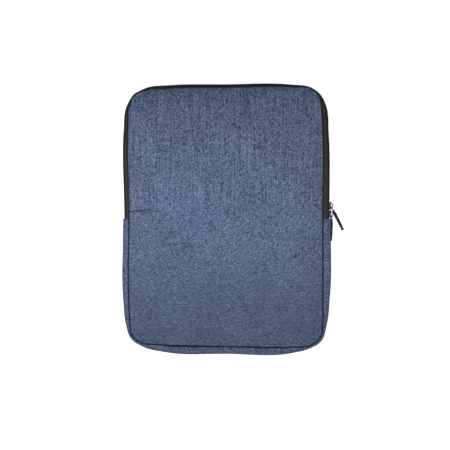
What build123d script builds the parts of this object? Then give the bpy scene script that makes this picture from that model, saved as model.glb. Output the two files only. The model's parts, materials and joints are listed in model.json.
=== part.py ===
from build123d import *
import math
import os

# A padded laptop sleeve, lying flat and zipped shut, in millimetres.
#
# It is a flat pocket of two padded panels, front and back, joined round their edges by a gusset that
# bulges outward. Below the middle the gusset is a padded fabric strip. Above it, it is a zipper that runs
# up one side, over the top and down the other, with two sliders parked at its lower right end.
#
# Frame: the back panel rests on Z = 0, and the front panel faces +Z. +Y points to the zipped top edge and
# +X to the side where the sliders are parked. The origin is the middle of the back panel's outer face.
#
# The front panel is one sheet that bends when the mouth opens. Rigid solids can't bend, so each of its
# layers is two solids that meet at the fold line, the upper one with the front half of the zipper.

# Overall sizes
SLEEVE_WIDTH = 268.0
SLEEVE_LENGTH = 350.0
SLEEVE_DEPTH = 22.0
CORNER_RADIUS = 46.0
GUSSET_BULGE = 7.0  # how far the gusset stands out past the panels' edges

# Layers
SHELL_THICK = 1.0
PANEL_FOAM_THICK = 4.0
LINING_THICK = 0.8
GUSSET_FOAM_THICK = 2.0
SEAM_ALLOWANCE = 5.0
BINDING_WIDTH = 4.4
BINDING_THICK = 1.2
LAYER_GAP = 0.1  # between layers that are sewn together along curved edges
LINING_INSET = 2.0
FOAM_CLEARANCE = 1.0  # between the panel foam and the seam allowance

# Zipper
ZIPPER_END_Y = 0.0  # where the fabric gusset ends and the zipper starts
ZIPPER_END_GAP = 0.2
TAPE_THICK = 0.6
COIL_THICK = 2.0
COIL_WIDTH = 2.8
CHAIN_GAP = 1.2  # between the two coils, where the slider's web passes
BARTACK_LENGTH = 8.0
BARTACK_WIDTH = 1.2
BARTACK_HEIGHT = 0.4
BARTACK_INSET = 1.0  # from the end of the fabric gusset

# Sliders
SLIDER_LENGTH = 11.0
SLIDER_WIDTH = 9.6
SLIDER_CORNER = 2.2
PLATE_THICK = 1.2
SLIDER_CLEARANCE = 0.3  # between a slider and the coils and tapes that run through it
FLANGE_THICK = 0.8
FLANGE_SLOT = 0.9  # height of the flange's free edge above the tape
WEB_THICK = 0.6
WEB_LENGTH = 3.4
WEB_FROM_NOSE = 0.8
PARKED_GAP = 0.4  # slider to the zipper's end, and slider to slider

# Crown: the bail on each slider that its pull hangs from
CROWN_LENGTH = 8.6
CROWN_HEIGHT = 2.9
CROWN_WIDTH = 3.2
CROWN_WALL = 1.15

# Pulls
WIRE_RADIUS = 0.5
LINK_BEND = 0.9
LINK_CLEARANCE = 0.3  # between the link's arms and the crown's sides
COLLAR_CLEARANCE = 0.4  # between the slider's tail and the collar beyond it
NECK_LENGTH = 1.5
NECK_GAP = 0.3  # between the link's two ends, where they enter the collar
COLLAR_WALL = 0.25
COLLAR_LENGTH = 2.4
LINK_SEATING = 0.6  # how deep the link's ends sit in the collar
GRIP_RADIUS = 1.45
GRIP_LENGTH = 23.2
TIP_RADIUS = 1.85
TIP_LENGTH = 3.6
LEANING_CLEARANCE = 0.08  # between the upper pull's grip and the lower crown that it leans on
UPPER_PULL_DROOP = -9.0  # at the end of the link, towards -Z: this pull lies across the top of the other
LOWER_PULL_ANGLE = 0.0  # from -Y towards +X
LOWER_PULL_DROOP = 14.0

# Fold line of the front panel, clear of the parked sliders
FOLD_MARGIN = 3.0
FOLD_GAP = 0.3

# Places that follow from the sizes above
PANEL_WIDTH = SLEEVE_WIDTH - 2 * GUSSET_BULGE
PANEL_LENGTH = SLEEVE_LENGTH - 2 * GUSSET_BULGE
PANEL_CORNER = CORNER_RADIUS - GUSSET_BULGE
MID_Z = SLEEVE_DEPTH / 2
TAPE_BULGE = GUSSET_BULGE - COIL_THICK  # the coils are flush with the gusset
TAPE_FACE_X = PANEL_WIDTH / 2 + TAPE_BULGE
LOWER_SLIDER_Y = ZIPPER_END_Y + PARKED_GAP + SLIDER_LENGTH / 2
UPPER_SLIDER_Y = LOWER_SLIDER_Y + SLIDER_LENGTH + PARKED_GAP
FOLD_Y = UPPER_SLIDER_Y + SLIDER_LENGTH / 2 + FOLD_MARGIN
FOLD_Z = SLEEVE_DEPTH + FOLD_GAP
OUTER_PLATE_BASE = COIL_THICK + SLIDER_CLEARANCE  # heights here are above the tape's outer face
OUTER_PLATE_TOP = OUTER_PLATE_BASE + PLATE_THICK
WINDOW_HALF_LENGTH = CROWN_LENGTH / 2 - CROWN_WALL
WINDOW_HEIGHT = CROWN_HEIGHT - CROWN_WALL
PIVOT_HEIGHT = OUTER_PLATE_TOP + 0.4 * WINDOW_HEIGHT
PIVOT_SETBACK = 0.6 * WINDOW_HALF_LENGTH  # from the crown's middle towards -Y
PIVOT_X = TAPE_FACE_X + PIVOT_HEIGHT
UPPER_PIVOT_Y = UPPER_SLIDER_Y - PIVOT_SETBACK
LOWER_PIVOT_Y = LOWER_SLIDER_Y - PIVOT_SETBACK
LINK_LENGTH = SLIDER_LENGTH / 2 + COLLAR_CLEARANCE + LINK_SEATING - PIVOT_SETBACK  # pivot to the link's end
NECK_HALF_WIDTH = NECK_GAP / 2 + WIRE_RADIUS
COLLAR_RADIUS = NECK_HALF_WIDTH + WIRE_RADIUS + COLLAR_WALL

FAR = 2 * (SLEEVE_WIDTH + SLEEVE_LENGTH)  # longer than anything here, for cutting boxes


def outline(reach):
    """The panels' rounded outline, grown outward by reach."""
    return RectangleRounded(PANEL_WIDTH + 2 * reach, PANEL_LENGTH + 2 * reach, PANEL_CORNER + reach)


def plate(reach, low, high):
    """A flat layer of that outline between two heights."""
    return Pos(0, 0, low) * extrude(outline(reach), amount=high - low)


def ring(inner_reach, outer_reach, low, high):
    """A flat ring between two outlines and two heights."""
    return plate(outer_reach, low, high) - plate(inner_reach, low - 1, high + 1)


def pillow(reach, top):
    """A slab as high above MID_Z as below, with edges rounded so that they meet the panels' outline."""
    body = plate(reach, SLEEVE_DEPTH - top, top)
    rims = body.edges().filter_by(GeomType.LINE) + body.edges().filter_by(GeomType.CIRCLE)
    rims = rims.filter_by(lambda e: abs(e.center().Z - MID_Z) > MID_Z / 4)
    return fillet(rims, reach)


def band(reach, thick, top, flange):
    """A strip that bulges out round the edge of the sleeve, with its seam allowance turned in by flange."""
    skin = pillow(reach, top) - pillow(reach - thick, top - thick)
    return skin - plate(-flange, -1, SLEEVE_DEPTH + 1)


def above(y, shape):
    """What lies on the +Y side of y."""
    return shape & Pos(0, y + FAR / 2, 0) * Box(FAR, FAR, FAR)


def below(y, shape):
    """What lies on the -Y side of y."""
    return shape & Pos(0, y - FAR / 2, 0) * Box(FAR, FAR, FAR)


def front_half(gap, shape):
    """What lies above the middle height, less half the gap between the two halves."""
    return shape & Pos(0, 0, MID_Z + gap / 2 + FAR / 2) * Box(FAR, FAR, FAR)


def to_back(shape):
    """A front layer turned over to the same place on the back."""
    return Pos(0, 0, SLEEVE_DEPTH) * mirror(shape, about=Plane.XY)


def lower_and_flap(shape):
    """A layer of the front panel as its fixed lower part and its upper flap."""
    return below(FOLD_Y - FOLD_GAP / 2, shape), above(FOLD_Y + FOLD_GAP / 2, shape)


def panel_layers():
    """Shell, foam and lining of both panels."""
    foam_top = SLEEVE_DEPTH - SHELL_THICK
    foam_low = foam_top - PANEL_FOAM_THICK
    front = {
        "outer_panel": plate(0, foam_top, SLEEVE_DEPTH),
        "foam_pad": plate(-SEAM_ALLOWANCE - FOAM_CLEARANCE, foam_low, foam_top),
        "lining": plate(-LINING_INSET, foam_low - LINING_THICK, foam_low),
    }
    parts = {}
    for name, layer in front.items():
        parts[f"back_{name}"] = to_back(layer)
        parts[f"front_{name}_lower"], parts[f"front_{name}_flap"] = lower_and_flap(layer)
    return parts


def gusset_layers():
    """The padded fabric strip round the lower half, and the bindings over the raw edges inside."""
    shell_top = SLEEVE_DEPTH - SHELL_THICK - LAYER_GAP
    foam_bulge = GUSSET_BULGE - SHELL_THICK - LAYER_GAP
    foam_top = shell_top - SHELL_THICK - LAYER_GAP
    lining_bulge = foam_bulge - GUSSET_FOAM_THICK - LAYER_GAP
    lining_top = foam_top - GUSSET_FOAM_THICK - LAYER_GAP
    binding_low = foam_top - BINDING_THICK
    edge = SEAM_ALLOWANCE + LAYER_GAP
    binding = ring(-edge, BINDING_WIDTH - edge, binding_low, foam_top)
    parts = {
        "gusset_outer_strip": band(GUSSET_BULGE, SHELL_THICK, shell_top, SEAM_ALLOWANCE),
        "gusset_foam_strip": band(foam_bulge, GUSSET_FOAM_THICK, foam_top, 0),
        "gusset_lining_strip": band(lining_bulge, LINING_THICK, lining_top, 0),
    }
    parts = {name: below(ZIPPER_END_Y, shape) for name, shape in parts.items()}
    parts["back_seam_binding"] = to_back(binding)
    parts["front_seam_binding_lower"], parts["front_seam_binding_flap"] = lower_and_flap(binding)
    return parts


def zipper_chain():
    """Tapes and coils: the back half, the front half on the flap, and the front half's two fixed ends."""
    start = ZIPPER_END_Y + ZIPPER_END_GAP
    tape_top = SLEEVE_DEPTH - SHELL_THICK - 2 * LAYER_GAP
    tape = band(TAPE_BULGE, TAPE_THICK, tape_top, SEAM_ALLOWANCE)
    coil_low = MID_Z + CHAIN_GAP / 2
    coil = ring(TAPE_BULGE, TAPE_BULGE + COIL_THICK, coil_low, coil_low + COIL_WIDTH)
    parts = {}
    for name, half in {"tape": front_half(CHAIN_GAP, tape), "coil": coil}.items():
        half = above(start, half)
        parts[f"zipper_{name}_back"] = to_back(half)
        parts[f"zipper_{name}_front_ends"], parts[f"zipper_{name}_front"] = lower_and_flap(half)
    return parts


def bartacks():
    """A bar of thread across each end of the zipper, on the fabric gusset."""
    bar = Box(BARTACK_HEIGHT, BARTACK_WIDTH, BARTACK_LENGTH)
    x = SLEEVE_WIDTH / 2 + BARTACK_HEIGHT / 2
    y = ZIPPER_END_Y - BARTACK_INSET
    return Compound([Pos(side * x, y, MID_Z) * bar for side in (-1, 1)])


def slider_plate(low, high):
    """One of a slider's two plates, between two heights above the tape."""
    face = Plane(origin=(low, 0, 0), x_dir=(0, 1, 0), z_dir=(1, 0, 0))
    return extrude(face * RectangleRounded(SLIDER_LENGTH, SLIDER_WIDTH, SLIDER_CORNER), amount=high - low)


def slider_body():
    """Two plates joined by a web at the nose, with flanges that keep the coils in. The nose points to +Y."""
    outer = slider_plate(OUTER_PLATE_BASE, OUTER_PLATE_TOP)
    outer = fillet(outer.faces().sort_by(Axis.X)[-1].edges(), PLATE_THICK / 2)
    inner_top = -TAPE_THICK - SLIDER_CLEARANCE
    inner = slider_plate(inner_top - PLATE_THICK, inner_top)
    web_y = SLIDER_LENGTH / 2 - WEB_FROM_NOSE - WEB_LENGTH / 2
    web_height = OUTER_PLATE_BASE - inner_top
    web = Pos(inner_top + web_height / 2, web_y, 0) * Box(web_height, WEB_LENGTH, WEB_THICK)
    flange_height = OUTER_PLATE_BASE - FLANGE_SLOT
    flange = Box(flange_height, SLIDER_LENGTH - 2 * SLIDER_CORNER, FLANGE_THICK)
    flange_z = SLIDER_WIDTH / 2 - FLANGE_THICK / 2
    flanges = [Pos(FLANGE_SLOT + flange_height / 2, 0, side * flange_z) * flange for side in (-1, 1)]
    return outer + inner + web + flanges[0] + flanges[1]


def slider_crown():
    """The bail: half an elliptic ring that stands on the outer plate."""
    arch = Ellipse(CROWN_LENGTH / 2, CROWN_HEIGHT) - Ellipse(WINDOW_HALF_LENGTH, WINDOW_HEIGHT)
    arch = arch & Pos(0, CROWN_LENGTH / 2) * Rectangle(2 * CROWN_LENGTH, CROWN_LENGTH)
    face = Plane(origin=(OUTER_PLATE_TOP, 0, -CROWN_WIDTH / 2), x_dir=(0, -1, 0), z_dir=(0, 0, 1))
    return extrude(face * arch, amount=CROWN_WIDTH)


def pull_link():
    """The bent wire that hangs from the crown, lying along -Y from its pivot."""
    side = CROWN_WIDTH / 2 + LINK_CLEARANCE + WIRE_RADIUS
    half = [(-LINK_LENGTH, NECK_HALF_WIDTH), (NECK_LENGTH - LINK_LENGTH, side), (0, side)]
    points = [(0, y, z) for y, z in half] + [(0, y, -z) for y, z in reversed(half)]
    path = FilletPolyline(*points, radius=LINK_BEND)
    start = Plane(origin=path @ 0, z_dir=path % 0)
    return sweep(start * Circle(WIRE_RADIUS), path=path)


def rod(radius, start, length):
    """A round piece of the pull, from start to start + length past the end of the link."""
    return Pos(0, -start - length / 2, 0) * Rot(90, 0, 0) * Cylinder(radius, length)


def pull_collar():
    """The ferrule that holds the link's two ends."""
    collar = rod(COLLAR_RADIUS, -LINK_SEATING, COLLAR_LENGTH + LINK_SEATING)
    return chamfer(collar.edges().sort_by(Axis.Y)[-1], WIRE_RADIUS)


def pull_grip():
    """The round grip between the ferrule and the tip."""
    return rod(GRIP_RADIUS, COLLAR_LENGTH, GRIP_LENGTH)


def pull_tip():
    """The rounded end cap."""
    cap = rod(TIP_RADIUS, COLLAR_LENGTH + GRIP_LENGTH, TIP_LENGTH)
    return fillet(cap.edges().filter_by(GeomType.CIRCLE), TIP_RADIUS / 2)


def leaning_angle():
    """The angle from -Y at which the upper pull's grip comes to rest on the lower slider's crown."""
    angle = 0.0
    while room_beside_crown(math.radians(angle)) < GRIP_RADIUS + LEANING_CLEARANCE:
        angle += 0.5
    return angle


def room_beside_crown(angle):
    """Distance from the lower crown's elliptic arch to the centre line of an upper pull at that angle."""
    plate_below = (PIVOT_HEIGHT - OUTER_PLATE_TOP) * math.cos(angle)
    crown_beyond = (UPPER_PIVOT_Y - LOWER_SLIDER_Y) * math.sin(angle)
    arch = math.hypot(CROWN_HEIGHT * math.cos(angle), CROWN_LENGTH / 2 * math.sin(angle))
    return plate_below + crown_beyond - arch


def sliders_and_pulls():
    """Both sliders nose to nose on the right side, each with its crown and its pull."""
    half_turn = Rot(180, 0, 0)
    places = {
        "upper": (UPPER_SLIDER_Y, half_turn, UPPER_PIVOT_Y, leaning_angle(), UPPER_PULL_DROOP),
        "lower": (LOWER_SLIDER_Y, Rot(0, 0, 0), LOWER_PIVOT_Y, LOWER_PULL_ANGLE, LOWER_PULL_DROOP),
    }
    parts = {}
    for name, (slider_y, turn, pivot_y, angle, droop) in places.items():
        seat = Pos(TAPE_FACE_X, slider_y, MID_Z)
        parts[f"{name}_slider_body"] = seat * turn * slider_body()
        parts[f"{name}_slider_crown"] = seat * slider_crown()
        swung = Pos(PIVOT_X, pivot_y, MID_Z) * Rot(0, 0, angle)
        link = pull_link()
        drooped = Pos(0, -LINK_LENGTH, 0) * Rot(droop, 0, 0)
        parts[f"{name}_pull_link"] = swung * link
        parts[f"{name}_pull_collar"] = swung * (drooped * pull_collar() - link)
        parts[f"{name}_pull_grip"] = swung * drooped * pull_grip()
        parts[f"{name}_pull_tip"] = swung * drooped * pull_tip()
    return parts


def sleeve():
    """Every piece of the sleeve, by name."""
    return {
        **panel_layers(),
        **gusset_layers(),
        **zipper_chain(),
        "zipper_end_bartacks": bartacks(),
        **sliders_and_pulls(),
    }


os.makedirs("parts", exist_ok=True)
for node, solid in sleeve().items():
    export_step(solid, f"parts/{node}.step")
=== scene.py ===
import json
import math

import bpy
import numpy as np
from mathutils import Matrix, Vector, noise


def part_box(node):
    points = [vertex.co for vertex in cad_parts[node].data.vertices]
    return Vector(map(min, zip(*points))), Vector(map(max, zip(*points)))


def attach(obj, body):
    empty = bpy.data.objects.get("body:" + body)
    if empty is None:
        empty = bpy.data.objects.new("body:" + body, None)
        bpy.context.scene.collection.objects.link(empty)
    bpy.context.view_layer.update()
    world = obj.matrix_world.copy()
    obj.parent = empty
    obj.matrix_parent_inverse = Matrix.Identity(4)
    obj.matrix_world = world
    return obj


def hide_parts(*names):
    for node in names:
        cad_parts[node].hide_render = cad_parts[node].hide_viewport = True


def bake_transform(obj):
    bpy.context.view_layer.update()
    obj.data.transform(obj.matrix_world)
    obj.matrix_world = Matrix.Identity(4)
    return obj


# The looks of a padded laptop sleeve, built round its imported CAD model. Everything is in metres, in the
# CAD's frame: the sleeve lies on z = 0, the front panel faces +z and the zipped top edge faces +y.
#
# The outer skin hangs on loops that run round the sleeve: the front seam, the back seam and, between
# them, the rim where the edge bulges furthest. All loops have the same steps, so that step k of one faces
# step k of the others. Each starts on the right side at the zipper's end and runs counter-clockwise.

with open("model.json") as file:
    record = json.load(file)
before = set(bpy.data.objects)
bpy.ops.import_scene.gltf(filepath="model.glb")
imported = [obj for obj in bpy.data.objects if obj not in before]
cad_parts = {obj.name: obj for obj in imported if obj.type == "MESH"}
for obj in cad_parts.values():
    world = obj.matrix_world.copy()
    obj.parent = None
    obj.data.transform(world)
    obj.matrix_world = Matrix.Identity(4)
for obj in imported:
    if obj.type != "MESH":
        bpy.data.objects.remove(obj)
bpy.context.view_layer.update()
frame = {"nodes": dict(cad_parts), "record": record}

MM = 0.001

# Places that the frame gives
panel_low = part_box("back_outer_panel")[0]
gusset_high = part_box("gusset_outer_strip")[1]
tape_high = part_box("zipper_tape_back")[1]
coil_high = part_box("zipper_coil_back")[1]
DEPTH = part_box("front_outer_panel_lower")[1].z
MID_Z = DEPTH / 2
ZIP_END_Y = gusset_high.y

# The loops' guide points in x and y, in millimetres, counter-clockwise from the zipper's right end. Each
# corner has five: its two shoulders, its knee, and a point between each shoulder and the knee.
FRONT_SEAM = {
    "right": (124.4, 0),
    "top_right": [(124.8, 106), (123.2, 140), (119.2, 160), (109, 169), (84, 171)],
    "top": (0, 170.4),
    "top_left": [(-80, 169), (-103, 167.2), (-120.2, 160.2), (-127, 145), (-128.6, 118)],
    "left": (-126.7, 0),
    "bottom_left": [(-127, -104), (-125, -139), (-123, -150.4), (-114.5, -158.2), (-84, -163)],
    "bottom": (0, -165.4),
    "bottom_right": [(84, -166), (108, -163.9), (121.2, -153.2), (123.9, -139), (124.4, -106)],
}
BACK_SEAM = {
    "right": (127, 0),
    "top_right": [(127, 115), (123.5, 145), (115, 158), (103, 165.5), (78, 168)],
    "top": (0, 168),
    "top_left": [(-78, 168), (-103, 165.5), (-115, 158), (-123.5, 145), (-127, 115)],
    "left": (-127, 0),
    "bottom_left": [(-127, -106), (-124.5, -138), (-117, -155), (-105, -164), (-80, -168)],
    "bottom": (0, -168),
    "bottom_right": [(80, -168), (105, -164), (117, -155), (124.5, -138), (127, -106)],
}
GUSSET_RIM = {
    "right": (135.0, 0),
    "top_right": [(133.8, 112), (130, 146), (121.5, 162.3), (109, 171.2), (82, 174.8)],
    "top": (0, 175),
    "top_left": [(-78, 173.6), (-103, 171), (-122.5, 159.8), (-131.4, 143.5), (-134, 118)],
    "left": (-134.6, 0),
    "bottom_left": [(-134.7, -104), (-131, -138), (-124.7, -155.3), (-108, -166.6), (-80, -173.2)],
    "bottom": (0, -175.4),
    "bottom_right": [(86, -174.1), (106, -169.2), (123.4, -158.4), (130.1, -137), (134.3, -100)],
}
COIL_RIM = {
    **GUSSET_RIM,
    "right": (133.6, 0),
    "top_right": [(132.7, 112), (129.7, 146), (121.5, 162.3), (109, 171.2), (82, 174.8)],
    "left": (-133.3, 0),
}

FRONT_SEAM_Z = DEPTH - 2.6 * MM
BACK_SEAM_Z = 2.4 * MM
BULGE_SQUARENESS = 2.5  # 2 would be a round edge

# Steps round the loops
KNEE_STEPS = 7  # between two guide points of a corner
CORNER_STEPS = 4 * KNEE_STEPS
UPPER_SIDE_STEPS = 60
LOWER_SIDE_STEPS = 44
END_STEPS = 72

FABRIC_THICK = 1.0 * MM
YARN_PITCH = 0.9 * MM
COIL_PITCH = 1.3 * MM
COIL_STEPS = 12  # points in one turn
COIL_WIRE = 0.33 * MM  # the wire's radius
COIL_SIDES = 6
COIL_HALF_WIDTH = 1.62 * MM
COIL_CENTRE = 1.52 * MM  # from the zipper's middle, so that the heads of the two halves overlap


# Loops round the sleeve

def loop_through(guide):
    """A smooth closed loop through a dictionary of guide points."""
    places = [guide["right"], *guide["top_right"], guide["top"], *guide["top_left"], guide["left"],
              *guide["bottom_left"], guide["bottom"], *guide["bottom_right"]]
    corner = [(KNEE_STEPS, 1.0)] * 4
    end = [(END_STEPS // 2, 1.0)] * 2
    lower = [(LOWER_SIDE_STEPS, 1.0)]
    # The steps crowd towards the zipper's ends, where the panel folds
    from_fold = [(UPPER_SIDE_STEPS, 1.5)]
    to_fold = [(UPPER_SIDE_STEPS, 1 / 1.5)]
    spans = from_fold + corner + end + corner + to_fold + lower + corner + end + corner + lower
    points = np.array(places, float) * MM
    chord = np.linalg.norm(np.roll(points, -1, axis=0) - points, axis=1)
    before = np.roll(chord, 1)
    step_in = (points - np.roll(points, 1, axis=0)) / before[:, None]
    step_out = (np.roll(points, -1, axis=0) - points) / chord[:, None]
    slope = (step_in * chord[:, None] + step_out * before[:, None]) / (before + chord)[:, None]
    loop = []
    for k, (steps, crowding) in enumerate(spans):
        after = (k + 1) % len(points)
        t = np.arange(steps) / steps
        t = t ** crowding if crowding >= 1 else 1 - (1 - t) ** (1 / crowding)
        loop.append(hermite(points[k], points[after], slope[k] * chord[k], slope[after] * chord[k], t))
    return np.concatenate(loop)


def hermite(start, end, start_slope, end_slope, t):
    """Points on the cubic between two points, at shares t of the way."""
    t = t[:, None]
    return ((2 * t ** 3 - 3 * t ** 2 + 1) * start + (t ** 3 - 2 * t ** 2 + t) * start_slope
            + (3 * t ** 2 - 2 * t ** 3) * end + (t ** 3 - t ** 2) * end_slope)


ZIP_STEPS = UPPER_SIDE_STEPS * 2 + CORNER_STEPS * 2 + END_STEPS
LOOP_STEPS = ZIP_STEPS + LOWER_SIDE_STEPS * 2 + CORNER_STEPS * 2 + END_STEPS


def on_zip(loop):
    """The stretch of a loop that the zipper covers, both ends included."""
    return loop[:ZIP_STEPS + 1]


def on_gusset(loop):
    """The stretch of a loop that the fabric gusset covers, both ends included."""
    return np.concatenate([loop[ZIP_STEPS:], loop[:1]])


def normals(path, closed=False):
    """Unit vectors that point out of a counter-clockwise path."""
    if closed:
        along = np.roll(path, -1, axis=0) - np.roll(path, 1, axis=0)
    else:
        along = np.gradient(path, axis=0)
    along /= np.linalg.norm(along, axis=1, keepdims=True)
    return np.stack([along[:, 1], -along[:, 0]], axis=1)


def lengths(path):
    """Distance run along a path at each of its points."""
    steps = np.linalg.norm(np.diff(path, axis=0), axis=1)
    return np.concatenate([[0], np.cumsum(steps)])


def along_path(path, distance):
    """Points and outward normals of a path at the given distances."""
    run = lengths(path)
    out = normals(path)
    point = np.stack([np.interp(distance, run, path[:, k]) for k in (0, 1)], axis=1)
    normal = np.stack([np.interp(distance, run, out[:, k]) for k in (0, 1)], axis=1)
    normal /= np.linalg.norm(normal, axis=1, keepdims=True)
    return point, normal


def moved_out(path, reach, closed=False):
    """A path moved outward by reach."""
    return path + normals(path, closed) * reach


def squared(wave, power):
    """A wave raised to a power with its sign kept, which makes a round section squarer if below 1."""
    return np.sign(wave) * np.abs(wave) ** power


front_seam = loop_through(FRONT_SEAM)
back_seam = loop_through(BACK_SEAM)
gusset_rim = loop_through(GUSSET_RIM)
coil_rim = loop_through(COIL_RIM)


# Meshes

def unevenness(x, y, size, seed):
    """Smooth noise between about -1 and 1 with lumps of that size."""
    return noise.noise(Vector((x / size, y / size, seed)))


def make_object(name, points, faces, material, cloth=None):
    """A smooth-shaded mesh object; cloth holds each point's place in its flat fabric."""
    mesh = bpy.data.meshes.new(name)
    mesh.from_pydata([tuple(p) for p in points], [], faces)
    mesh.validate()
    mesh.shade_smooth()
    if cloth is not None:
        attribute = mesh.attributes.new("cloth", "FLOAT_VECTOR", "POINT")
        attribute.data.foreach_set("vector", np.asarray(cloth, np.float32).ravel())
    mesh.materials.append(material)
    piece = bpy.data.objects.new(name, mesh)
    bpy.context.scene.collection.objects.link(piece)
    return piece


def grid_faces(rows, columns, wrap_rows=False, wrap_columns=False, first=0):
    """Quads over a grid of points numbered row by row."""
    faces = []
    for r in range(rows if wrap_rows else rows - 1):
        for c in range(columns if wrap_columns else columns - 1):
            r2, c2 = (r + 1) % rows, (c + 1) % columns
            faces.append((first + r * columns + c, first + r * columns + c2,
                          first + r2 * columns + c2, first + r2 * columns + c))
    return faces


def swept(name, sections, material, cloth=None, closed=False):
    """A solid through closed sections: an array of (section, point, xyz). Its ends are capped."""
    count, around = sections.shape[:2]
    faces = grid_faces(count, around, wrap_rows=closed, wrap_columns=True)
    if not closed:
        faces.append(tuple(range(around))[::-1])
        faces.append(tuple((count - 1) * around + k for k in range(around)))
    if cloth is not None:
        cloth = cloth.reshape(-1, 3)
    return make_object(name, sections.reshape(-1, 3), faces, material, cloth)


def panel_rows(loop):
    """Pairs of facing points on the left and the right of a loop, from its bottom edge to its top edge."""
    right = np.concatenate([loop[-LOWER_SIDE_STEPS - CORNER_STEPS:],
                            loop[:UPPER_SIDE_STEPS + CORNER_STEPS + 1]])
    left_start = UPPER_SIDE_STEPS + CORNER_STEPS + END_STEPS
    left_count = CORNER_STEPS * 2 + UPPER_SIDE_STEPS + LOWER_SIDE_STEPS + 1
    left = loop[left_start:left_start + left_count][::-1]
    return left, right


def panel_grid(loop, columns):
    """Points that fill a loop, row by row, and each point's distance from the loop."""
    left, right = panel_rows(loop)
    t = np.linspace(0, 1, columns)
    t = t - 0.12 * np.sin(4 * math.pi * t) / (2 * math.pi) * 1.6
    points = left[:, None, :] * (1 - t)[None, :, None] + right[:, None, :] * t[None, :, None]
    flat = points.reshape(-1, 2)
    inset = np.full(len(flat), 1.0)
    closed = np.concatenate([loop, loop[:1]])
    for a, b in zip(closed[:-1], closed[1:]):
        edge = b - a
        t = np.clip(((flat - a) @ edge) / (edge @ edge), 0, 1)
        near = a + t[:, None] * edge
        inset = np.minimum(inset, np.hypot(*(flat - near).T))
    return points, inset.reshape(points.shape[:2])


def slab(name, grid, upper, lower, material, fold=0):
    """A closed sheet over a panel grid, between two arrays of heights. Fold is how dark the painted shadow in
    its crease is.
    """
    rows, columns = grid.shape[:2]
    count = rows * columns
    top = np.concatenate([grid, upper[..., None]], axis=2).reshape(-1, 3)
    bottom = np.concatenate([grid, lower[..., None]], axis=2).reshape(-1, 3)
    faces = grid_faces(rows, columns)
    faces += [tuple(count + k for k in f[::-1]) for f in grid_faces(rows, columns)]
    border = list(range(columns))
    border += [r * columns + columns - 1 for r in range(1, rows)]
    border += [(rows - 1) * columns + c for c in range(columns - 2, -1, -1)]
    border += [r * columns for r in range(rows - 2, 0, -1)]
    for a, b in zip(border, border[1:] + border[:1]):
        faces.append((b, a, count + a, count + b))
    cloth = np.concatenate([top, bottom])
    cloth[count:, 0] += 1.0  # a metre on, so that the lower face has its own weave
    # The third cloth value is the painted shadow of the crease, which darkens the fabric there
    cloth[:, 2] = np.tile(np.broadcast_to(fold, (rows, columns)).ravel(), 2)
    return make_object(name, np.concatenate([top, bottom]), faces, material, cloth)


def bulge_section(seam_front, seam_back, rim, z_front, z_back, count):
    """Rows of points across the bulging edge, from the front seam to the back one."""
    angle = np.linspace(0, math.pi, count)
    c, s = np.cos(angle), np.sin(angle)
    power = 2 / BULGE_SQUARENESS
    height = squared(c, power)
    reach = squared(s, power)
    share = ((1 + height) / 2)[None, :, None]
    base = seam_front[:, None, :] * share + seam_back[:, None, :] * (1 - share)
    flat = base + (rim[:, None, :] - base) * reach[None, :, None]
    z = (z_front + z_back) / 2 + (z_front - z_back) / 2 * height
    z = np.broadcast_to(z, flat.shape[:2])
    return np.concatenate([flat, z[..., None]], axis=2)


def strip(name, outer, inner, material):
    """A strip of cloth between an outer and an inner surface, each an array of (step, across, xyz)."""
    sections = np.concatenate([outer, inner[:, ::-1]], axis=1)
    run = lengths(outer[:, outer.shape[1] // 2])
    girth = lengths(outer[len(outer) // 2])
    girth = np.concatenate([girth, girth[::-1] + 0.5])  # half a metre on, for a weave of its own inside
    cloth = np.zeros(sections.shape)
    cloth[..., 0] = run[:, None]
    cloth[..., 1] = girth[None, :]
    return swept(name, sections, material, cloth)


def tube(name, line, radius, sides, material, up=(0, 0, 1)):
    """A round tube along a line of points; radius is a number or one number per point."""
    line = np.asarray(line, float)
    along = np.gradient(line, axis=0)
    along /= np.linalg.norm(along, axis=1, keepdims=True)
    side = np.cross(along, up)
    side /= np.linalg.norm(side, axis=1, keepdims=True)
    other = np.cross(side, along)
    radius = np.broadcast_to(np.asarray(radius, float), len(line))
    angle = np.arange(sides) / sides * 2 * math.pi
    ring = side[:, None] * np.cos(angle)[:, None] + other[:, None] * np.sin(angle)[:, None]
    sections = line[:, None, :] + ring * radius[:, None, None]
    cloth = np.zeros(sections.shape)
    cloth[..., 0] = lengths(line)[:, None]
    cloth[..., 1] = (angle / (2 * math.pi))[None, :]
    return swept(name, sections, material, cloth)


# Materials

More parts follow.
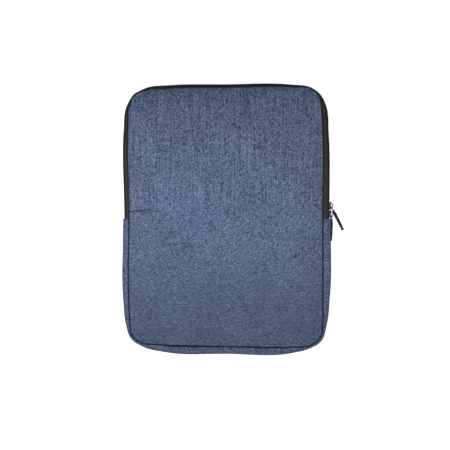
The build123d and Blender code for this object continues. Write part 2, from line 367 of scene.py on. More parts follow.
class Shader:
    """A Principled material and short calls for the nodes that feed it."""

    def __init__(self, name, roughness, metallic=0.0, specular=0.5):
        self.material = bpy.data.materials.new(name)
        self.material.use_nodes = True
        self.tree = self.material.node_tree
        self.surface = self.tree.nodes["Principled BSDF"]
        self.surface.inputs["Roughness"].default_value = roughness
        self.surface.inputs["Metallic"].default_value = metallic
        self.surface.inputs["Specular IOR Level"].default_value = specular

    def node(self, kind, **settings):
        made = self.tree.nodes.new(kind)
        for name, value in settings.items():
            setattr(made, name, value)
        return made

    def feed(self, socket, value):
        if isinstance(value, bpy.types.NodeSocket):
            self.tree.links.new(value, socket)
        else:
            socket.default_value = value

    def math(self, operation, a, b=0.0, clamp=False):
        made = self.node("ShaderNodeMath", operation=operation, use_clamp=clamp)
        self.feed(made.inputs[0], a)
        self.feed(made.inputs[1], b)
        return made.outputs[0]

    def cloth(self):
        """The place in the flat fabric as x and y in metres, and how dark the painted shadow in a crease is
        there, from 0 to 1.
        """
        place = self.node("ShaderNodeAttribute", attribute_name="cloth")
        split = self.node("ShaderNodeSeparateXYZ")
        self.feed(split.inputs[0], place.outputs["Vector"])
        return split.outputs[0], split.outputs[1], split.outputs[2]

    def grain(self, x, y, across, along, detail=2.0):
        """Noise stretched over the fabric: lumps measure across by along, in metres."""
        joined = self.node("ShaderNodeCombineXYZ")
        self.feed(joined.inputs[0], self.math("DIVIDE", x, across))
        self.feed(joined.inputs[1], self.math("DIVIDE", y, along))
        made = self.node("ShaderNodeTexNoise")
        self.feed(made.inputs["Vector"], joined.outputs[0])
        made.inputs["Scale"].default_value = 1.0
        made.inputs["Detail"].default_value = detail
        return made.outputs[0]

    def slubs(self, across, along, pitch, length):
        """A random value from 0 to 1 for each stretch of that length of each yarn."""
        yarn = self.math("FLOOR", self.math("DIVIDE", across, pitch))
        shift = self.node("ShaderNodeTexWhiteNoise", noise_dimensions="1D")
        self.feed(shift.inputs["W"], yarn)
        shifted = self.math("MULTIPLY", shift.outputs[0], 9.0)
        place = self.math("ADD", self.math("DIVIDE", along, length), shifted)
        joined = self.node("ShaderNodeCombineXYZ")
        self.feed(joined.inputs[0], yarn)
        self.feed(joined.inputs[1], self.math("FLOOR", place))
        made = self.node("ShaderNodeTexWhiteNoise", noise_dimensions="2D")
        self.feed(made.inputs["Vector"], joined.outputs[0])
        return made.outputs["Value"]

    def centred(self, value):
        """A value between 0 and 1 brought to between -0.5 and 0.5."""
        return self.math("SUBTRACT", value, 0.5)

    def between(self, low, high, share):
        """Low where share is 0 and high where it is 1."""
        rise = self.math("SUBTRACT", high, low)
        return self.math("ADD", self.math("MULTIPLY", rise, share), low)

    def lumps(self, size, detail=2.0):
        """Noise in space, with lumps of that size in metres."""
        place = self.node("ShaderNodeTexCoord")
        made = self.node("ShaderNodeTexNoise")
        self.feed(made.inputs["Vector"], place.outputs["Object"])
        made.inputs["Scale"].default_value = 1.0 / size
        made.inputs["Detail"].default_value = detail
        return made.outputs[0]

    def ramp(self, value, stops):
        """The colour that a value from 0 to 1 has between (place, colour) stops."""
        made = self.node("ShaderNodeValToRGB")
        while len(made.color_ramp.elements) < len(stops):
            made.color_ramp.elements.new(0.5)
        for element, (at, colour) in zip(made.color_ramp.elements, stops):
            element.position = at
            element.color = (*colour, 1.0)
        self.feed(made.inputs[0], value)
        return made.outputs[0]

    def half(self, value):
        """A wave between -1 and 1 brought to between 0 and 1."""
        return self.math("ADD", self.math("MULTIPLY", value, 0.5), 0.5)

    def colour(self, value):
        self.feed(self.surface.inputs["Base Color"], value)

    def bump(self, height, distance, strength=1.0):
        made = self.node("ShaderNodeBump")
        made.inputs["Distance"].default_value = distance
        made.inputs["Strength"].default_value = strength
        self.feed(made.inputs["Height"], height)
        self.feed(self.surface.inputs["Normal"], made.outputs[0])

    def sheen(self, weight, roughness, tint):
        self.surface.inputs["Sheen Weight"].default_value = weight
        self.surface.inputs["Sheen Roughness"].default_value = roughness
        self.surface.inputs["Sheen Tint"].default_value = (*tint, 1.0)


def weighted(shader, terms):
    """The sum of (value, weight) pairs."""
    total = 0.0
    for value, weight in terms:
        total = shader.math("ADD", shader.math("MULTIPLY", value, weight), total)
    return total


def heather_fabric():
    """Blue melange canvas: yarns whose blue changes from slub to slub, in a plain weave, with painted shadow
    darkening the crease.
    """
    s = Shader("heather_fabric", 0.9, specular=0.12)
    # Fold is the painted shadow along the crease
    x, y, fold = s.cloth()
    # The warp shows most towards the zipped end, and the weft towards the closed end
    upper = s.math("DIVIDE", s.math("ADD", y, 110 * MM), 80 * MM, clamp=True)
    # Below the fold the warp leans
    leaning = s.math("SUBTRACT", x, s.math("MULTIPLY", s.math("MINIMUM", y, 0.0), 0.4))
    warp = s.slubs(leaning, y, YARN_PITCH, 2.6 * MM)
    weft = s.slubs(y, x, YARN_PITCH * 0.9, 3.6 * MM)
    weave = s.math("ADD", s.math("FLOOR", s.math("DIVIDE", leaning, YARN_PITCH)),
                   s.math("FLOOR", s.math("DIVIDE", y, YARN_PITCH * 0.9)))
    warp_on_top = s.math("MODULO", s.math("ABSOLUTE", weave), 2.0)
    column = s.grain(leaning, y, 1.3 * MM, 5 * MM, 1.0)
    # Above the fold some warp yarns stay lighter or darker for a long way
    above_fold = s.math("DIVIDE", s.math("ADD", y, 30 * MM), 60 * MM, clamp=True)
    streak = s.grain(leaning, y, 2.3 * MM, 60 * MM, 0.0)
    row = s.grain(x, y, 5 * MM, 0.8 * MM, 1.0)
    fleck = s.grain(leaning, y, 0.75 * MM, 0.95 * MM, 0.0)
    fibre = s.grain(x, y, 0.35 * MM, 0.45 * MM)
    broad = s.grain(x, y, 55 * MM, 70 * MM)
    warp_shade = s.math("MULTIPLY", s.centred(warp), s.between(0.40, 0.90, upper))
    weft_shade = s.math("MULTIPLY", s.centred(weft), s.between(0.55, 0.60, upper))
    shade = weighted(s, [
        (s.between(weft_shade, warp_shade, warp_on_top), 1.0),
        (s.math("MULTIPLY", s.centred(column), upper), 0.9),
        (s.math("MULTIPLY", s.centred(streak), above_fold), 0.5),
        (s.math("MULTIPLY", s.centred(row), s.math("SUBTRACT", 1.0, upper)), 0.8),
        (s.math("MULTIPLY", s.centred(fleck), s.between(0.7, 1.0, upper)), 1.6),
        (s.centred(fibre), 0.5),
        (s.centred(broad), 0.25),
        # Painted shadow: darker along the crease
        (fold, -0.5),
    ])
    s.colour(s.ramp(s.math("ADD", shade, 0.5), [
        (0.00, (0.010, 0.018, 0.038)),
        (0.50, (0.046, 0.065, 0.113)),
        (1.00, (0.130, 0.165, 0.255)),
    ]))
    dome_x = s.math("ABSOLUTE", s.math("SINE", s.math("MULTIPLY", leaning, math.pi / YARN_PITCH)))
    dome_y = s.math("ABSOLUTE", s.math("SINE", s.math("MULTIPLY", y, math.pi / (YARN_PITCH * 0.9))))
    s.bump(weighted(s, [(s.between(dome_y, dome_x, warp_on_top), 0.8), (fibre, 0.4)]), 0.12 * MM, 0.5)
    return s.material


def plush(name, dark, light, size):
    """A soft knit or fleece for linings."""
    s = Shader(name, 0.95, specular=0.1)
    x, y, _ = s.cloth()
    loops = s.grain(x, y, size, size, 3.0)
    broad = s.grain(x, y, 30 * MM, 30 * MM)
    s.colour(s.ramp(weighted(s, [(loops, 0.7), (broad, 0.3)]), [(0.35, dark), (0.65, light)]))
    s.bump(loops, 0.3 * MM, 0.6)
    s.sheen(0.4, 0.6, (0.8, 0.85, 0.95))
    return s.material


def woven_tape(name, dark, light, rib):
    """Narrow woven tape: ribs along its length and fine picks across."""
    s = Shader(name, 0.85, specular=0.1)
    x, y, _ = s.cloth()
    ribs = s.half(s.math("SINE", s.math("MULTIPLY", y, 2 * math.pi / rib)))
    picks = s.half(s.math("SINE", s.math("MULTIPLY", x, 2 * math.pi / (0.45 * MM))))
    fibre = s.grain(x, y, 2.5 * MM, 0.3 * MM)
    shade = weighted(s, [(ribs, 0.25), (picks, 0.15), (fibre, 0.6)])
    s.colour(s.ramp(shade, [(0.3, dark), (0.7, light)]))
    s.bump(weighted(s, [(ribs, 0.6), (picks, 0.4)]), 0.12 * MM, 0.8)
    return s.material


def nylon_coil():
    """Black monofilament, a little scuffed."""
    s = Shader("zipper_coil", 0.4, specular=0.12)
    scuff = s.lumps(1.5 * MM, 3.0)
    s.colour(s.ramp(scuff, [(0.3, (0.003, 0.003, 0.0035)), (0.75, (0.010, 0.010, 0.011))]))
    s.feed(s.surface.inputs["Roughness"], s.math("ADD", s.math("MULTIPLY", scuff, 0.25), 0.2))
    return s.material


def twisted_thread():
    """Navy sewing thread, with its twist."""
    s = Shader("seam_thread", 0.85, specular=0.05)
    x, y, _ = s.cloth()
    twist = s.half(s.math("SINE", s.math("ADD", s.math("MULTIPLY", x, 2 * math.pi / (0.8 * MM)),
                                        s.math("MULTIPLY", y, 2 * math.pi))))
    s.colour(s.ramp(twist, [(0.1, (0.006, 0.009, 0.020)), (0.9, (0.016, 0.023, 0.046))]))
    s.bump(twist, 0.1 * MM, 0.8)
    return s.material


def satin_black(name, roughness, edge):
    """Black painted metal, with a fine orange peel and slightly rubbed highlights."""
    s = Shader(name, roughness, 0.3, specular=0.25)
    peel = s.lumps(0.5 * MM, 2.0)
    rub = s.lumps(2.5 * MM, 4.0)
    s.colour(s.ramp(rub, [(0.35, (0.012, 0.012, 0.013)), (0.8, edge)]))
    s.feed(s.surface.inputs["Roughness"], s.math("ADD", s.math("MULTIPLY", rub, 0.2), roughness - 0.1))
    s.bump(peel, 0.02 * MM, 0.5)
    return s.material


def moulded_rubber():
    """Matt black rubber of the pulls' grips."""
    s = Shader("pull_rubber", 0.6, specular=0.15)
    skin = s.lumps(0.35 * MM, 3.0)
    s.colour(s.ramp(skin, [(0.3, (0.004, 0.004, 0.0045)), (0.8, (0.012, 0.012, 0.0125))]))
    s.bump(skin, 0.04 * MM, 0.6)
    return s.material


def foam():
    """Open-cell padding foam."""
    s = Shader("padding_foam", 0.95)
    cells = s.lumps(0.8 * MM, 3.0)
    s.colour(s.ramp(cells, [(0.3, (0.35, 0.35, 0.34)), (0.7, (0.62, 0.62, 0.60))]))
    s.bump(cells, 0.2 * MM, 0.7)
    return s.material


MATERIALS = {
    "heather_fabric": heather_fabric(),
    "lining_fabric": plush("lining_fabric", (0.010, 0.011, 0.014), (0.028, 0.030, 0.036), 0.7 * MM),
    "padding_foam": foam(),
    "seam_binding": woven_tape("seam_binding", (0.006, 0.008, 0.016), (0.018, 0.022, 0.036), 0.9 * MM),
    "zipper_tape": woven_tape("zipper_tape", (0.016, 0.015, 0.015), (0.038, 0.036, 0.035), 0.7 * MM),
    "zipper_coil": nylon_coil(),
    "seam_thread": twisted_thread(),
    "slider_metal": satin_black("slider_metal", 0.38, (0.035, 0.035, 0.036)),
    "link_wire": satin_black("link_wire", 0.3, (0.05, 0.05, 0.05)),
    "pull_metal": satin_black("pull_metal", 0.35, (0.04, 0.04, 0.04)),
    "pull_rubber": moulded_rubber(),
}


def finished(piece, bodies, replaces=()):
    """Parents a piece to one body, or with two bodies leaves it unparented with its transform applied, and
    hides the CAD parts it stands for.
    """
    if len(bodies) == 2:
        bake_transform(piece)
    else:
        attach(piece, bodies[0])
    if replaces:
        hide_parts(*replaces)
    return piece


# Panels

FOLDING = ("sleeve", "flap")
PANEL_COLUMNS = 92
EDGE_ROLL = 15 * MM  # how far in from the seam the padding reaches its full height
PRESS_STEPS = 20
CLOTH_FULLNESS = 0.003  # spare cloth, as a share of its length
SWELL_LIMIT = 0.8 * MM


def roll(inset, width):
    """How far the padding has risen at that distance from the seam, from 0 to 1."""
    t = np.clip(inset / width, 0, 1)
    return 1 - (1 - t) ** 2.6


def front_height(grid, inset):
    """The front panel's outer face: rolled edges, soft lumps, and a crease where the mouth bends open."""
    height = FRONT_SEAM_Z + (DEPTH - FRONT_SEAM_Z) * roll(inset, EDGE_ROLL)
    inside = roll(inset, 40 * MM)
    rows, columns = inset.shape
    for r in range(rows):
        for c in range(columns):
            x, y = grid[r, c]
            soft = 0.55 * unevenness(x, y, 75 * MM, 1.5) + 0.18 * unevenness(x, y, 28 * MM, 7.5)
            height[r, c] += soft * inside[r, c] * MM
    return height + crease(grid) + puckers(grid, inset, 3.1)


def crease_line(grid):
    """Distance above the crease's line, and how much of the crease is left there, away from the seam."""
    x, y = grid[..., 0], grid[..., 1]
    run = np.clip((x - panel_low.x) / (48 * MM), 0, 1)
    line = ZIP_END_Y + (9.2 + 1.9 * np.clip(run * 3, 0, 1) + 0.35 * np.sin(run * 14)) * MM
    return y - line, (1 - run) ** 0.6


def crease(grid):
    """A sharp dent that runs in from the left seam just above the zipper's end, with a soft swell above."""
    above, there = crease_line(grid)
    swell = 0.5 * np.exp(-(above / (3.5 * MM) - 1) ** 2)
    dent = 3.3 * np.exp(-np.abs(above) / (0.75 * MM))
    return (swell - dent) * there * MM


def painted_crease_shadow(grid):
    """How dark the painted shadow along the crease is, from 0 to 1."""
    above, there = crease_line(grid)
    return np.exp(-(above / (0.7 * MM)) ** 2) * there


def gathered(grid):
    """The grid with its rows drawn towards the crease, so that they can follow it."""
    above, there = crease_line(grid)
    drawn = grid.copy()
    drawn[..., 1] -= 0.8 * above * np.exp(-(above / (7 * MM)) ** 2) * there
    return drawn


def puckers(grid, inset, seed):
    """Small gathers that the stitches pull into the panel beside its seam."""
    near = np.exp(-inset / (3.5 * MM)) * np.clip(inset / (1.2 * MM), 0, 1)
    out = np.zeros(inset.shape)
    for index in np.ndindex(inset.shape):
        if near[index] > 0.02:
            x, y = grid[index]
            out[index] = near[index] * unevenness(x, y, 6 * MM, seed) * 0.7 * MM
    return out


def swelling(grid, height):
    """How far cloth of that shape, held all round its seam, rises when the padding presses it out."""
    points = np.concatenate([grid, height[..., None]], axis=2).reshape(-1, 3)
    sheet = make_object("pressed_sheet", points, grid_faces(*height.shape), MATERIALS["heather_fabric"])
    edge = np.ones(height.shape, bool)
    edge[1:-1, 1:-1] = False
    sheet.vertex_groups.new(name="seam").add([int(k) for k in np.flatnonzero(edge)], 1.0, "REPLACE")
    cloth = sheet.modifiers.new("press", "CLOTH")
    settings = cloth.settings
    settings.vertex_group_mass = "seam"
    settings.quality = 5
    settings.mass = 0.3
    settings.tension_stiffness = settings.compression_stiffness = 40
    settings.shear_stiffness = 10
    settings.bending_stiffness = 0.05
    settings.shrink_min = -CLOTH_FULLNESS
    settings.use_pressure = True
    settings.uniform_pressure_force = 4.0
    settings.effector_weights.gravity = 0
    cloth.collision_settings.use_collision = False
    cloth.point_cache.frame_end = PRESS_STEPS
    for step in range(1, PRESS_STEPS + 1):
        bpy.context.scene.frame_set(step)
    pressed = sheet.evaluated_get(bpy.context.evaluated_depsgraph_get())
    risen = np.array([v.co.z for v in pressed.data.vertices]).reshape(height.shape) - height
    bpy.data.meshes.remove(sheet.data)
    bpy.context.scene.frame_set(1)
    return SWELL_LIMIT * np.tanh(risen / SWELL_LIMIT)


def front_panel():
    """The outer cloth of the front, which bends where the mouth opens."""
    grid, inset = panel_grid(front_seam, PANEL_COLUMNS)
    grid = gathered(grid)
    top = front_height(grid, inset)
    top += swelling(grid, top)
    cloth = MATERIALS["heather_fabric"]
    # Besides its dent, the crease gets painted shadow in the fabric's colour
    piece = slab("front_panel", grid, top, top - FABRIC_THICK, cloth, painted_crease_shadow(grid))
    return finished(piece, FOLDING, ["front_outer_panel_lower", "front_outer_panel_flap"])


def back_panel():
    """The outer cloth of the back, flat where it lies on the table."""
    grid, inset = panel_grid(back_seam, PANEL_COLUMNS)
    bottom = BACK_SEAM_Z * (1 - roll(inset, EDGE_ROLL)) + np.abs(puckers(grid, inset, 9.7))
    piece = slab("back_panel", grid, bottom + FABRIC_THICK, bottom, MATERIALS["heather_fabric"])
    return finished(piece, ["sleeve"], ["back_outer_panel"])


def inner_slab(name, loop, inset_by, low, high, slot, bodies, replaces, rounding, dented=False):
    """A flat inner layer with rounded edges, set in from a seam; the crease dents its upper face if asked."""
    grid, inset = panel_grid(moved_out(loop, -inset_by, closed=True), PANEL_COLUMNS // 2)
    grid = gathered(grid) if dented else grid
    middle, half = (low + high) / 2, (high - low) / 2
    swell = half * (0.25 + 0.75 * roll(inset, rounding))
    dent = np.maximum(crease(grid), 0.3 * MM - 2 * swell) if dented else 0
    piece = slab(name, grid, middle + swell + dent, middle - swell, MATERIALS[slot])
    return finished(piece, bodies, replaces)


def inner_layers():
    """Foam pads and linings of both panels."""
    foam_low, foam_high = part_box("back_foam_pad")
    lining_low, lining_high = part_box("back_lining")
    front_foam_low, front_foam_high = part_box("front_foam_pad_lower")
    front_lining_low, front_lining_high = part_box("front_lining_lower")
    gap = 0.25 * MM
    inner_slab("back_foam", back_seam, 6 * MM, foam_low.z + gap, foam_high.z - gap, "padding_foam",
               ["sleeve"], ["back_foam_pad"], 6 * MM)
    inner_slab("front_foam", front_seam, 6 * MM, front_foam_low.z + gap, front_foam_high.z - 0.9 * MM,
               "padding_foam", FOLDING, ["front_foam_pad_lower", "front_foam_pad_flap"], 6 * MM, dented=True)
    inner_slab("back_lining_cloth", back_seam, 2 * MM, lining_low.z, lining_high.z, "lining_fabric",
               ["sleeve"], ["back_lining"], 3 * MM)
    inner_slab("front_lining_cloth", front_seam, 2 * MM, front_lining_low.z, front_lining_high.z,
               "lining_fabric", FOLDING, ["front_lining_lower", "front_lining_flap"], 3 * MM)


# Gusset

def gusset_surface(inward, count):
    """The lower edge's bulging surface, moved in by inward, with the lumps of sewn padding."""
    out = normals(gusset_rim, closed=True)
    rim = on_gusset(gusset_rim - out * inward)
    seam_f, seam_b = on_gusset(front_seam), on_gusset(back_seam)
    half_less = inward * 0.55
    rows = bulge_section(seam_f, seam_b, rim, FRONT_SEAM_Z - half_less, BACK_SEAM_Z + half_less, count)
    rows = pinched(rows, knee_steps())
    run = lengths(rim)
    normal = on_gusset(out)
    for i in range(len(rows)):
        for j in range(count):
            share = math.sin(math.pi * j / (count - 1))
            lump = 0.35 * unevenness(run[i], j * 3 * MM, 34 * MM, 4.0) * share
            lump += 0.3 * unevenness(run[i], j * 0.5 * MM, 7 * MM, 8.0) * (1 - share) * share * 4
            rows[i, j, :2] += normal[i] * lump * MM
    return rows


def knee_steps():
    """Where along the gusset its two corner knees are."""
    left = LOWER_SIDE_STEPS + 2 * KNEE_STEPS
    return left, left + CORNER_STEPS + END_STEPS


def pinched(rows, steps):
    """The strip with a pinch across it at each of these steps, where it turns its corner."""
    middle = (rows[:, 0] + rows[:, -1])[:, None, :] / 2
    index = np.arange(len(rows))
    depth = np.zeros(len(rows))
    for k in steps:
        depth += np.exp(-((index - k) / 0.9) ** 2) - 0.25 * np.exp(-((index - k) / 3.0) ** 2)
    across = np.sin(np.linspace(0, math.pi, rows.shape[1]))
    return rows + (middle - rows) * (0.07 * depth[:, None] * across[None, :])[..., None]


GUSSET_COLUMNS = 21
PADDING_COLUMNS = 15
HEM_RUN = 3.4 * MM
HEM_SIDES = 20


def gusset():
    """The gusset's outer cloth, foam and lining; the inner two end one step short, inside the hems."""
    outer = gusset_surface(0, GUSSET_COLUMNS)
    inner = gusset_surface(FABRIC_THICK, GUSSET_COLUMNS)
    piece = strip("gusset_strip", outer, inner, MATERIALS["heather_fabric"])
    finished(piece, ["sleeve"], ["gusset_outer_strip"])
    foam_outer = gusset_surface(1.3 * MM, PADDING_COLUMNS)[1:-1]
    foam_inner = gusset_surface(3.0 * MM, PADDING_COLUMNS)[1:-1]
    pad = strip("gusset_foam", foam_outer, foam_inner, MATERIALS["padding_foam"])
    finished(pad, ["sleeve"], ["gusset_foam_strip"])
    lining_outer = gusset_surface(3.3 * MM, PADDING_COLUMNS)[1:-1]
    lining_inner = gusset_surface(4.1 * MM, PADDING_COLUMNS)[1:-1]
    lining = strip("gusset_lining", lining_outer, lining_inner, MATERIALS["lining_fabric"])
    finished(lining, ["sleeve"], ["gusset_lining_strip"])
    hem("gusset_hem_left", 0)
    hem("gusset_hem_right", -1)


def hem(name, row):
    """The gusset's outer cloth folded in over its foam and lining at one end."""
    outer = gusset_surface(0.9 * MM, GUSSET_COLUMNS)[row][:, None]
    inner = gusset_surface(4.3 * MM, GUSSET_COLUMNS)[row][:, None]
    angle = np.arange(HEM_SIDES) / HEM_SIDES * 2 * math.pi
    c, s = np.cos(angle), np.sin(angle)
    deep = (0.5 - 0.5 * squared(c, 0.6))[None, :, None]
    sections = outer * (1 - deep) + inner * deep
    sections[..., 1] += HEM_RUN * (squared(s, 0.6) - 1) / 2
    cloth = np.zeros(sections.shape)
    cloth[..., 0] = lengths(outer[:, 0])[:, None]
    cloth[..., 1] = (angle / (2 * math.pi) * 2.5 * HEM_RUN)[None, :]
    finished(swept(name, sections, MATERIALS["heather_fabric"], cloth), ["sleeve"])


# Zipper

CHAIN_HALF = 0.35 * MM  # each tape's edge to the zipper's middle
TAPE_UNDERLAP = 4.0 * MM  # how far the tape's ends tuck under the gusset
COIL_DEPTH = coil_high.x - tape_high.x
TAPE_COLUMNS = 61
TAPE_THICK = 0.55 * MM


def tape_surface(front, inward):
    """One tape's outer surface, moved in by inward, from its seam to its edge beside the coil."""
    rim = moved_out(coil_rim, -COIL_DEPTH - inward, closed=True)
    half_less = inward * 0.5
    rows = bulge_section(on_zip(front_seam), on_zip(back_seam), on_zip(rim),
                         FRONT_SEAM_Z - half_less, BACK_SEAM_Z + half_less, TAPE_COLUMNS)
    across = rows[0, :, 2]
    keep = across > MID_Z + CHAIN_HALF if front else across < MID_Z - CHAIN_HALF
    rows = rows[:, keep] if front else rows[:, keep][:, ::-1]
    rows[:, -1, 2] = MID_Z + (CHAIN_HALF if front else -CHAIN_HALF)
    tail = rows[:1].copy(), rows[-1:].copy()
    for end in tail:
        end[..., 1] -= TAPE_UNDERLAP
    return np.concatenate([tail[0], rows, tail[1]])


def tape(name, front, bodies, replaces):
    """One woven tape, from its seam to the coil."""
    outer = tape_surface(front, 0)
    inner = tape_surface(front, TAPE_THICK)
    piece = strip(name, outer, inner, MATERIALS["zipper_tape"])
    return finished(piece, bodies, replaces)


def coil(name, side, bodies, replaces):
    """One nylon coil: a flattened spiral whose heads reach between those of the other half."""
    path = on_zip(coil_rim)
    total = lengths(path)[-1]
    phase = np.arange(int(total / COIL_PITCH * COIL_STEPS)) / COIL_STEPS
    distance = phase * COIL_PITCH
    point, normal = along_path(path, distance)
    angle = (phase + (0.5 if side > 0 else 0.0)) * 2 * math.pi
    depth = COIL_DEPTH / 2
    wire_depth = depth - COIL_WIRE
    out = -depth + wire_depth * np.sin(angle)
    across = COIL_CENTRE - COIL_HALF_WIDTH * np.cos(angle)
    flat = point + normal * out[:, None]
    line = np.concatenate([flat, (MID_Z + side * across)[:, None]], axis=1)
    along = np.gradient(line, axis=0)
    along /= np.linalg.norm(along, axis=1, keepdims=True)
    path_dir = np.stack([-normal[:, 1], normal[:, 0], np.zeros(len(normal))], axis=1)
    first = np.cross(along, path_dir)
    first /= np.linalg.norm(first, axis=1, keepdims=True)
    second = np.cross(along, first)
    turn = np.arange(COIL_SIDES) / COIL_SIDES * 2 * math.pi
    ring = first[:, None] * np.cos(turn)[:, None] + second[:, None] * np.sin(turn)[:, None]
    sections = line[:, None, :] + ring * COIL_WIRE
    coil_core(f"{name}_core", side, bodies)
    piece = swept(name, sections, MATERIALS["zipper_coil"])
    return finished(piece, bodies, replaces)


def coil_core(name, side, bodies):
    """The filler cord inside a coil, which the sewing thread holds to the tape."""
    path = on_zip(coil_rim)
    point, normal = along_path(path, np.linspace(0, lengths(path)[-1], 700))
    angle = np.arange(12) / 12 * 2 * math.pi
    out = -0.65 * COIL_DEPTH + 0.38 * COIL_DEPTH * np.sin(angle)
    height = MID_Z + side * (1.75 * MM + 1.15 * MM * np.cos(angle))
    sections = np.zeros((len(point), 12, 3))
    sections[..., :2] = point[:, None, :] + normal[:, None, :] * out[None, :, None]
    sections[..., 2] = height[None, :]
    cloth = np.zeros(sections.shape)
    cloth[..., 0] = lengths(point)[:, None]
    cloth[..., 1] = height[None, :]
    piece = swept(name, sections, MATERIALS["zipper_tape"], cloth)
    return finished(piece, bodies)


def zipper():
    """The front half, left unparented like the front panel, and the back half, tied to the sleeve."""
    tape("zipper_tape_front_cloth", True, FOLDING, ["zipper_tape_front", "zipper_tape_front_ends"])
    tape("zipper_tape_back_cloth", False, ["sleeve"], ["zipper_tape_back"])
    coil("zipper_coil_front_wire", 1, FOLDING, ["zipper_coil_front", "zipper_coil_front_ends"])
    coil("zipper_coil_back_wire", -1, ["sleeve"], ["zipper_coil_back"])


# Seams

STITCH_STEPS = 4  # points along a seam line from one stitch hole to the next
SEAM_STEP = 0.8 * MM
BINDING_WIDTH = 4.4 * MM
BINDING_HEIGHT = 1.2 * MM


def seam_line_with_painted_shadow(name, path, z, bodies, slot, radius):
    """A dark sewn line in the groove between a panel and the edge, dimpled by its stitches, and painted
    shadow in that groove.
    """
    count = int(lengths(path)[-1] / SEAM_STEP)
    point, _ = along_path(path, np.linspace(0, lengths(path)[-1], count))
    line = np.concatenate([point, np.full((count, 1), z)], axis=1)
    stitch = np.abs(np.sin(np.arange(count) * math.pi / STITCH_STEPS)) ** 0.4
    piece = tube(name, line, radius * (0.8 + 0.2 * stitch), 8, MATERIALS[slot])
    return finished(piece, bodies)


def binding(name, loop, z, bodies, replaces):
    """The tape that covers the raw edges inside a seam."""
    path = moved_out(loop, -3.2 * MM, closed=True)
    count = len(path)
    angle = np.arange(10) / 10 * 2 * math.pi
    normal = normals(path, closed=True)
    wide = BINDING_WIDTH / 2 * squared(np.cos(angle), 0.6)
    tall = BINDING_HEIGHT / 2 * squared(np.sin(angle), 0.6)
    sections = np.zeros((count, 10, 3))
    sections[..., :2] = path[:, None, :] + normal[:, None, :] * wide[None, :, None]
    sections[..., 2] = z + tall[None, :]
    cloth = np.zeros(sections.shape)
    cloth[..., 0] = lengths(path)[:, None]
    cloth[..., 1] = wide[None, :]
    piece = swept(name, sections, MATERIALS["seam_binding"], cloth, closed=True)
    return finished(piece, bodies, replaces)


def seams():
    """Black cord-like seams beside the zipper and thread in the gusset's seams, which also paint the grooves'
    shadow, and bindings inside.
    """
    front_z = FRONT_SEAM_Z + 0.1 * MM
    back_z = BACK_SEAM_Z - 0.1 * MM
    # Each seam line is sewn thread and painted shadow in its groove at once
    seam_line_with_painted_shadow("front_zip_seam_and_shadow", on_zip(front_seam), front_z, FOLDING, "zipper_coil", 1.2 * MM)
    seam_line_with_painted_shadow("front_gusset_seam_and_shadow", on_gusset(front_seam), front_z, ["sleeve"], "seam_thread", 0.9 * MM)
    seam_line_with_painted_shadow("back_zip_seam_and_shadow", on_zip(back_seam), back_z, ["sleeve"], "zipper_coil", 1.1 * MM)
    seam_line_with_painted_shadow("back_gusset_seam_and_shadow", on_gusset(back_seam), back_z, ["sleeve"], "seam_thread", 0.9 * MM)
    binding("front_binding", front_seam, FRONT_SEAM_Z - 1.8 * MM, FOLDING,
            ["front_seam_binding_lower", "front_seam_binding_flap"])
    binding("back_binding", back_seam, BACK_SEAM_Z + 1.8 * MM, ["sleeve"], ["back_seam_binding"])


def bartacks():
    """Dense satin stitches across each end of the zipper."""
    low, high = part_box("zipper_end_bartacks")
    for name, side in (("left", -1), ("right", 1)):
        rim = (gusset_rim[0] if side > 0 else gusset_rim[ZIP_STEPS])[0]
        line = []
        steps = 60
        for k in range(steps + 1):
            z = MID_Z - 4.0 * MM + 8.0 * MM * k / steps
            y = (low.y + high.y) / 2 + (0.5 * MM if k % 2 else -0.5 * MM)
            line.append((rim + side * 0.1 * MM, y, z))
        thread = MATERIALS["seam_thread"]
        piece = tube(f"bartack_{name}", line, 0.14 * MM, 6, thread, up=(side, 0.2, 0))
        finished(piece, ["sleeve"], ["zipper_end_bartacks"] if side > 0 else [])


# Hardware

RIB_PITCH = 4.2 * MM  # of the twisted ribs on the grips


def dress_cad_nodes():
    """Finishes for the CAD nodes whose shape stays."""
    for entry in frame["record"]["subparts"]:
        node = frame["nodes"][entry["node"]]
        if node.hide_render:
            continue
        node.data.materials.clear()
        node.data.materials.append(MATERIALS[entry["material_slot"]])
        for polygon in node.data.polygons:
            polygon.material_index = 0


def axis_of(node_name, towards):
    """The ends of a rod-shaped CAD node, the second nearer the other node, and two directions across it."""
    node = frame["nodes"][node_name]
    points = np.array([node.matrix_world @ v.co for v in node.data.vertices])
    middle = points.mean(axis=0)
    along = np.linalg.svd(points - middle)[2][0]
    low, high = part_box(towards)
    if np.dot((np.array(low) + np.array(high)) / 2 - middle, along) < 0:
        along = -along
    run = (points - middle) @ along
    side = np.cross(along, (0, 0, 1))
    side /= np.linalg.norm(side)
    return middle + along * run.min(), middle + along * run.max(), side, np.cross(side, along)


def moulded(name, node_name, next_node, widths, deeps, ribs):
    """A moulded length of a pull. Widths lie level and deeps upright, each as (share of the length, size)."""
    start, end, side, up = axis_of(node_name, next_node)
    steps, around = 150, 28
    share = np.linspace(0, 1, steps)
    wide = np.interp(share, *zip(*widths)) / 2
    deep = np.interp(share, *zip(*deeps)) / 2
    angle = np.arange(around) / around * 2 * math.pi
    length = np.linalg.norm(end - start)
    turn = angle[None, :] * 2 + share[:, None] * length / RIB_PITCH * 2 * math.pi
    groove = 1 - ribs / wide[:, None] * (0.5 - 0.5 * np.cos(turn)) ** 3
    level = squared(np.cos(angle), 0.75)
    upright = squared(np.sin(angle), 0.75)
    centre = start + (end - start) * share[:, None]
    sections = (centre[:, None, :] + side * (wide[:, None] * level * groove)[..., None]
                + up * (deep[:, None] * upright * groove)[..., None])
    return swept(name, sections, MATERIALS["pull_rubber"])


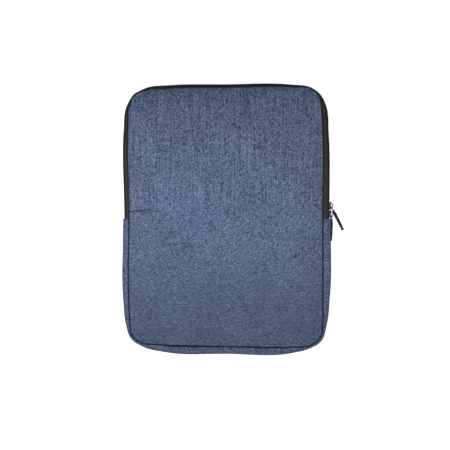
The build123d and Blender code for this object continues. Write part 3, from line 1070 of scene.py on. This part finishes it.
def rounded(size, end_size, share=0.12):
    """Sizes along a piece that swells from its rounded start to size, and tapers to end_size."""
    bend = [(0, 0.72 * size), (share / 3, 0.92 * size), (share, size)]
    return bend + [(1 - share, end_size), (1, 0.9 * end_size)]


def button(size):
    """Sizes along a round end button."""
    return [(math.sin(t) ** 2, size * max(0.12, math.sin(2 * t))) for t in np.linspace(0, math.pi / 2, 15)]


def pull_grips():
    """The upper pull lies with its broad face up and the lower one on edge."""
    for level, wide, deep in (("upper", rounded(4.2, 4.0), rounded(2.8, 2.2)),
                              ("lower", rounded(4.0, 2.9), rounded(3.7, 3.4))):
        grip = moulded(f"{level}_grip_rubber", f"{level}_pull_grip", f"{level}_pull_tip",
                       in_mm(wide), in_mm(deep), 0.14 * MM)
        finished(grip, [f"{level}_pull"], [f"{level}_pull_grip"])
    for level, wide, deep in (("upper", button(4.7), button(3.2)), ("lower", button(3.2), button(4.4))):
        end = f"{level}_pull_tip"
        tip = moulded(f"{level}_tip_button", end, end, in_mm(wide), in_mm(deep), 0)
        finished(tip, [f"{level}_pull"], [end])


def in_mm(pairs):
    """The (share, size) pairs with their sizes turned from millimetres to metres."""
    return [(share, size * MM) for share, size in pairs]


# Stage

def studio():
    """A pale table, a long soft light across the sleeve's middle and a camera straight above."""
    scene = bpy.context.scene
    scene.view_settings.view_transform = "Standard"
    world = bpy.data.worlds.new("studio")
    scene.world = world
    world.use_nodes = True
    light_world(world.node_tree)

    s = Shader("studio_floor", 0.9)
    s.colour((0.55, 0.55, 0.55, 1.0))
    s.surface.inputs["Emission Color"].default_value = (1.0, 1.0, 1.0, 1.0)
    seen = s.node("ShaderNodeLightPath").outputs["Is Camera Ray"]
    s.feed(s.surface.inputs["Emission Strength"], s.math("MULTIPLY", seen, 0.78))
    floor = make_object("floor", [(-4, -4, 0), (4, -4, 0), (4, 4, 0), (-4, 4, 0)], [(0, 1, 2, 3)], s.material)
    floor.location.z = -0.05 * MM

    add_light("key", (-0.15, 0.004, 0.24), (0.7, 0.12), 1.27, (0, 0, 0))
    add_light("fill", (0, -0.8, 0.3), (0.8, 0.3), 1.0, (math.radians(70), 0, 0))

    camera_data = bpy.data.cameras.new("camera")
    camera_data.lens = 135.4
    camera_data.sensor_width = 36
    camera = bpy.data.objects.new("camera", camera_data)
    scene.collection.objects.link(camera)
    camera.location = (-2.3 * MM, -7.9 * MM, MID_Z + 2.2)
    scene.camera = camera


def light_world(tree):
    """A white room: brighter behind the closed end than behind the zipped end, and plain to the camera."""
    place = tree.nodes.new("ShaderNodeTexCoord")
    split = tree.nodes.new("ShaderNodeSeparateXYZ")
    fall = tree.nodes.new("ShaderNodeMath")
    fall.operation = "MULTIPLY_ADD"
    seen = tree.nodes.new("ShaderNodeLightPath")
    strength = tree.nodes.new("ShaderNodeMath")
    strength.operation = "MAXIMUM"
    tree.links.new(place.outputs["Generated"], split.inputs[0])
    tree.links.new(split.outputs["Y"], fall.inputs[0])
    fall.inputs[1].default_value = -0.5
    fall.inputs[2].default_value = 0.72
    tree.links.new(fall.outputs[0], strength.inputs[0])
    tree.links.new(seen.outputs["Is Camera Ray"], strength.inputs[1])
    background = tree.nodes["Background"]
    background.inputs["Color"].default_value = (1.0, 1.0, 1.0, 1.0)
    tree.links.new(strength.outputs[0], background.inputs["Strength"])


def add_light(name, place, size, power, turned):
    """A soft rectangular light, out of the camera's sight."""
    light_data = bpy.data.lights.new(name, "AREA")
    light_data.shape = "RECTANGLE"
    light_data.size, light_data.size_y = size
    light_data.energy = power
    light = bpy.data.objects.new(name, light_data)
    bpy.context.scene.collection.objects.link(light)
    light.location = place
    light.rotation_euler = turned
    light.visible_camera = False


front_panel()
back_panel()
inner_layers()
gusset()
zipper()
seams()
bartacks()
pull_grips()
dress_cad_nodes()
studio()
